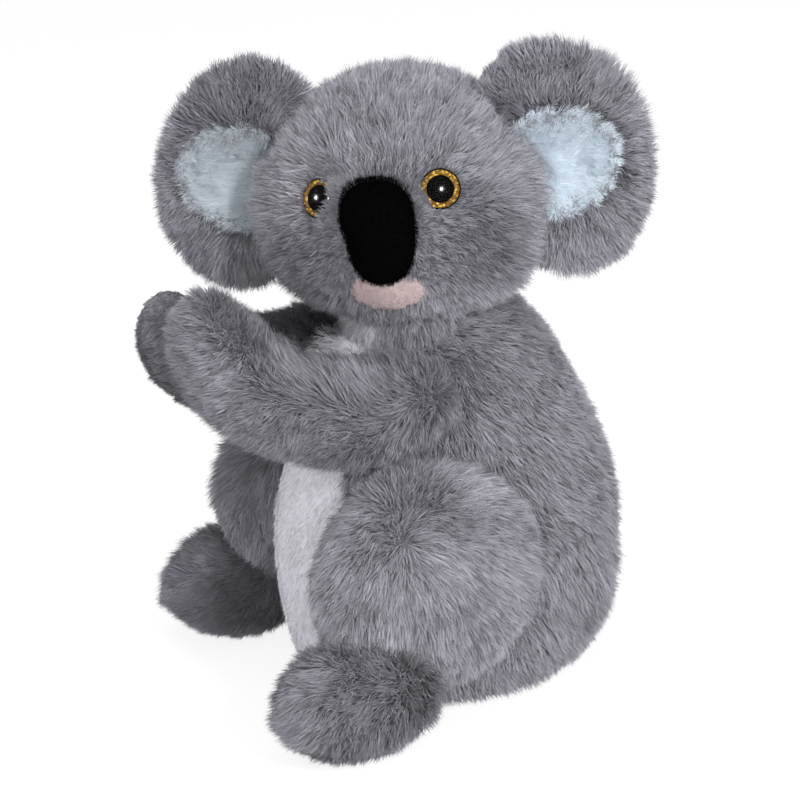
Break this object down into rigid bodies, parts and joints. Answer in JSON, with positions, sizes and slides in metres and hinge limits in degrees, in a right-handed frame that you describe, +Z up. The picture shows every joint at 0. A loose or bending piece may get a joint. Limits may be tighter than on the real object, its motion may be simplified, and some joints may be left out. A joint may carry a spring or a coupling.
{
  "type": "plush koala",
  "caption": "Seated plush koala with arms held out, head turned, round ears with pale linings, domed eyes, padded nose, and sprung head, ears, arms and legs.",
  "frame": {"origin": "on the flat under the seat, below the hips' front and on the body's middle plane", "axes": "+Z up, the body faces -Y, its left side is +X"},
  "size_m": [0.1742, 0.1986, 0.2717],
  "materials": {
    "plush": "matte",
    "white_plush": "matte",
    "filling": "matte",
    "pellet_cloth": "matte",
    "velvet": "matte",
    "velour": "matte",
    "clear_plastic": "polished",
    "glitter": "gloss",
    "black_plastic": "gloss",
    "washer_plastic": "satin"
  },
  "bodies": {
    "torso": {"belly_panel": "white_plush", "body_stuffing": "filling", "pellet_bag": "pellet_cloth", "body_skin": "plush"},
    "neck": {"neck_stuffing": "filling"},
    "head": {"head_skin": "plush", "head_stuffing": "filling", "nose_cover": "velvet", "nose_wadding": "filling", "mouth_patch": "velour", "eye_left_post": "black_plastic", "eye_left_glitter": "glitter", "eye_left_lens": "clear_plastic", "eye_left_washer": "washer_plastic", "eye_right_post": "black_plastic", "eye_right_glitter": "glitter", "eye_right_lens": "clear_plastic", "eye_right_washer": "washer_plastic"},
    "ear_left": {"ear_left_cover": "plush", "ear_left_lining": "white_plush", "ear_left_wadding": "filling"},
    "ear_right": {"ear_right_cover": "plush", "ear_right_lining": "white_plush", "ear_right_wadding": "filling"},
    "arm_left": {"arm_left_skin": "plush", "arm_left_stuffing": "filling"},
    "arm_right": {"arm_right_skin": "plush", "arm_right_stuffing": "filling"},
    "leg_left": {"thigh_left_skin": "plush", "thigh_left_stuffing": "filling", "foot_left_skin": "plush", "foot_left_stuffing": "filling"},
    "leg_right": {"thigh_right_skin": "plush", "thigh_right_stuffing": "filling", "foot_right_skin": "plush", "foot_right_stuffing": "filling"}
  },
  "joints": [
    {"name": "head_turn", "type": "hinge", "parent": "torso", "child": "neck", "pos_m": [0, -0.0035, 0.158], "axis": [0, 0, 1], "range_deg": [-15, 4], "stiffness_Nm_per_rad": 2},
    {"name": "head_nod", "type": "hinge", "parent": "neck", "child": "head", "pos_m": [0, -0.0035, 0.158], "axis": [0.5446, 0.8387, 0], "range_deg": [-6, 6], "stiffness_Nm_per_rad": 3},
    {"name": "ear_left_flop", "type": "hinge", "parent": "head", "child": "ear_left", "pos_m": [0.02524, 0.03536, 0.21908], "axis": [-0.1996, -0.3074, 0.9304], "range_deg": [-10, 10], "stiffness_Nm_per_rad": 0.3},
    {"name": "ear_right_flop", "type": "hinge", "parent": "head", "child": "ear_right", "pos_m": [-0.02565, -0.043, 0.21337], "axis": [0.1364, 0.21, 0.9681], "range_deg": [-10, 10], "stiffness_Nm_per_rad": 0.3},
    {"name": "arm_left_lift", "type": "hinge", "parent": "torso", "child": "arm_left", "pos_m": [0.041, -0.025, 0.144], "axis": [-1, 0, 0], "range_deg": [-10, 12], "stiffness_Nm_per_rad": 1},
    {"name": "arm_right_lift", "type": "hinge", "parent": "torso", "child": "arm_right", "pos_m": [-0.041, -0.025, 0.144], "axis": [-1, 0, 0], "range_deg": [-4, 8], "stiffness_Nm_per_rad": 1},
    {"name": "leg_left_lift", "type": "hinge", "parent": "torso", "child": "leg_left", "pos_m": [0.054, -0.02275, 0.06575], "axis": [-1, 0, 0], "range_deg": [0, 12], "stiffness_Nm_per_rad": 2},
    {"name": "leg_right_lift", "type": "hinge", "parent": "torso", "child": "leg_right", "pos_m": [-0.054, -0.02275, 0.06575], "axis": [-1, 0, 0], "range_deg": [0, 12], "stiffness_Nm_per_rad": 2}
  ]
}
